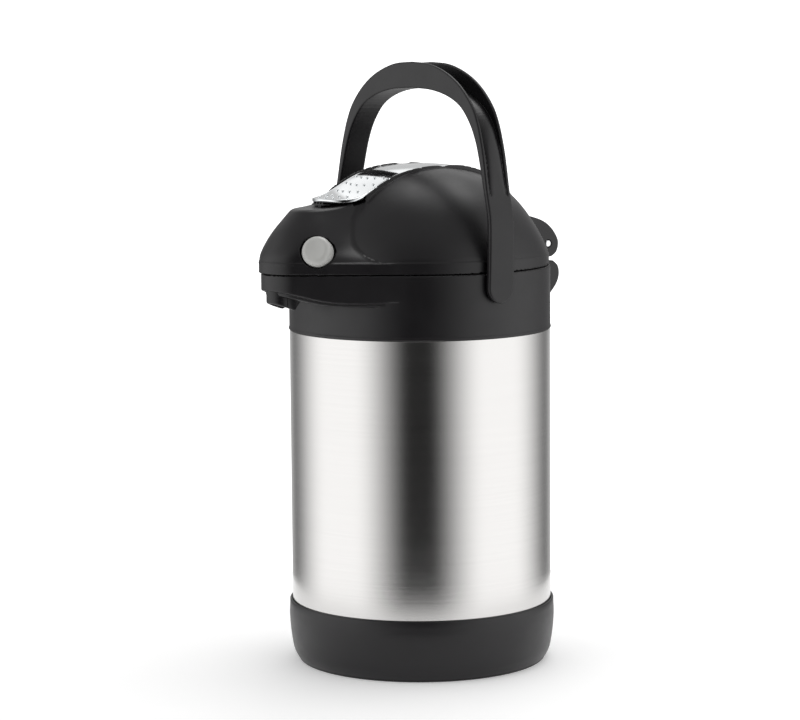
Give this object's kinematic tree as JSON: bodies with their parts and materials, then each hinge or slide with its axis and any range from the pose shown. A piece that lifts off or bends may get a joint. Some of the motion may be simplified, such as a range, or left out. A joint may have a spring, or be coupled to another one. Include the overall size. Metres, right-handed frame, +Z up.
{
  "type": "airpot",
  "caption": "Thermal beverage airpot: steel-clad vacuum flask with a beaked pump lid, hinged pump lever, release buttons on the cheeks and a swinging carrying bail.",
  "frame": {"origin": "centre of the base where the pot stands", "axes": "+Z up along the pot's axis, -Y towards the spout, +Y towards the lid hinge, X along the bail's pivots"},
  "size_m": [0.176, 0.2163, 0.3817],
  "materials": {
    "black_plastic": "satin moulded black, fine texture",
    "grey_plastic": "natural moulded",
    "button_plastic": "satin light grey",
    "brushed_steel": "brushed round the body",
    "polished_steel": "polished",
    "flask_steel": "drawn",
    "tube_steel": "drawn tube",
    "pin_steel": "ground pin",
    "spring_steel": "drawn wire",
    "fastener_steel": "plated",
    "silicone": "food-grade silicone",
    "rubber_pad": "matt"
  },
  "bodies": {
    "pot": {"base_ring": "black_plastic", "bottom_cap": "black_plastic", "foot_pads": "rubber_pad", "outer_shell": "brushed_steel", "flask_cushion": "rubber_pad", "flask_jacket": "flask_steel", "flask_liner": "flask_steel", "neck_seal": "silicone", "tube_holder": "grey_plastic", "dip_tube": "tube_steel", "tube_gasket": "silicone", "collar": "black_plastic", "nozzle_cowl": "black_plastic", "hinge_bracket": "black_plastic", "hinge_screws": "fastener_steel", "latch_catches": "black_plastic"},
    "lid": {"lid_shell": "black_plastic", "lid_base": "black_plastic", "lid_screws": "fastener_steel", "hinge_pin": "pin_steel", "lever_pin": "pin_steel", "spout_pipe": "tube_steel", "stopper": "grey_plastic", "stopper_seal": "silicone", "air_valve": "silicone", "bellows": "silicone", "bellows_spring": "spring_steel", "button_spring_right": "spring_steel", "button_spring_left": "spring_steel"},
    "lever": {"lever_plate": "polished_steel", "lever_frame": "black_plastic"},
    "plunger": {"bellows_cap": "grey_plastic"},
    "lever_lock": {"lever_lock": "black_plastic"},
    "button_right": {"release_button_right": "button_plastic", "latch_hook_right": "grey_plastic"},
    "button_left": {"release_button_left": "button_plastic", "latch_hook_left": "grey_plastic"},
    "bail": {"bail": "black_plastic", "bail_clips": "black_plastic"}
  },
  "joints": [
    {"name": "lid_hinge", "type": "hinge", "parent": "pot", "child": "lid", "pos_m": [0, 0.0912, 0.263], "axis": [-1, 0, 0], "range_deg": [0, 18]},
    {"name": "lever_hinge", "type": "hinge", "parent": "lid", "child": "lever", "pos_m": [0, 0.048, 0.2975], "axis": [-1, 0, 0], "range_deg": [0, 13]},
    {"name": "plunger_slide", "type": "slide", "parent": "lid", "child": "plunger", "axis": [0, 0, 1], "range_m": [0, 0.009], "deforming": ["bellows", "bellows_spring"]},
    {"name": "lever_lock_slide", "type": "slide", "parent": "lid", "child": "lever_lock", "axis": [1, 0, 0], "range_m": [0, 0.005]},
    {"name": "button_right_slide", "type": "slide", "parent": "lid", "child": "button_right", "axis": [-0.5708, 0.7306, -0.3746], "range_m": [0, 0.003], "stiffness_N_per_m": 300, "springref_m": -0.002, "deforming": ["button_spring_right"]},
    {"name": "button_left_slide", "type": "slide", "parent": "lid", "child": "button_left", "axis": [0.5708, 0.7306, -0.3746], "range_m": [0, 0.003], "stiffness_N_per_m": 300, "springref_m": -0.002, "deforming": ["button_spring_left"]},
    {"name": "bail_swing", "type": "hinge", "parent": "pot", "child": "bail", "pos_m": [0, 0, 0.2443], "axis": [1, 0, 0], "range_deg": [-90, 90]}
  ],
  "couplings": [
    {"joint": "plunger_slide", "follows": "lever_hinge", "m_per_rad": 0.038}
  ]
}
